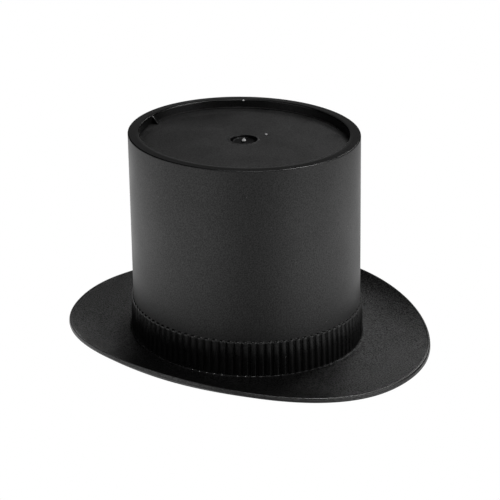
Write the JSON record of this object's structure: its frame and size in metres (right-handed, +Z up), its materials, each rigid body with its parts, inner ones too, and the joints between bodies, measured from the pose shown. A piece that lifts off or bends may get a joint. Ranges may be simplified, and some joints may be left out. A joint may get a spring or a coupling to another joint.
{
  "type": "top hat",
  "caption": "Small oval top hat with a recessed top disc, a fluted band round the crown's foot and a brim curled up at its sides; hollow and open underneath.",
  "frame": {"origin": "centre of the brim's footprint, on the surface that the hat stands on", "axes": "+X along the hat's long axis, towards its front; +Y across it, to the hat's left; +Z up through the crown"},
  "size_m": [0.1006, 0.0822, 0.0554],
  "materials": {
    "crown_plastic": "black moulded plastic with a fine spark-eroded grain",
    "disc_plastic": "black moulded plastic with a coarser grain and a bright gate nub",
    "band_plastic": "black moulded plastic, smoother on the flutes",
    "brim_plastic": "black moulded plastic with a fine grain and a satin sheen"
  },
  "bodies": {
    "root": {"crown_shell": "crown_plastic", "top_disc": "disc_plastic", "ribbed_band": "band_plastic", "brim": "brim_plastic"}
  },
  "joints": []
}
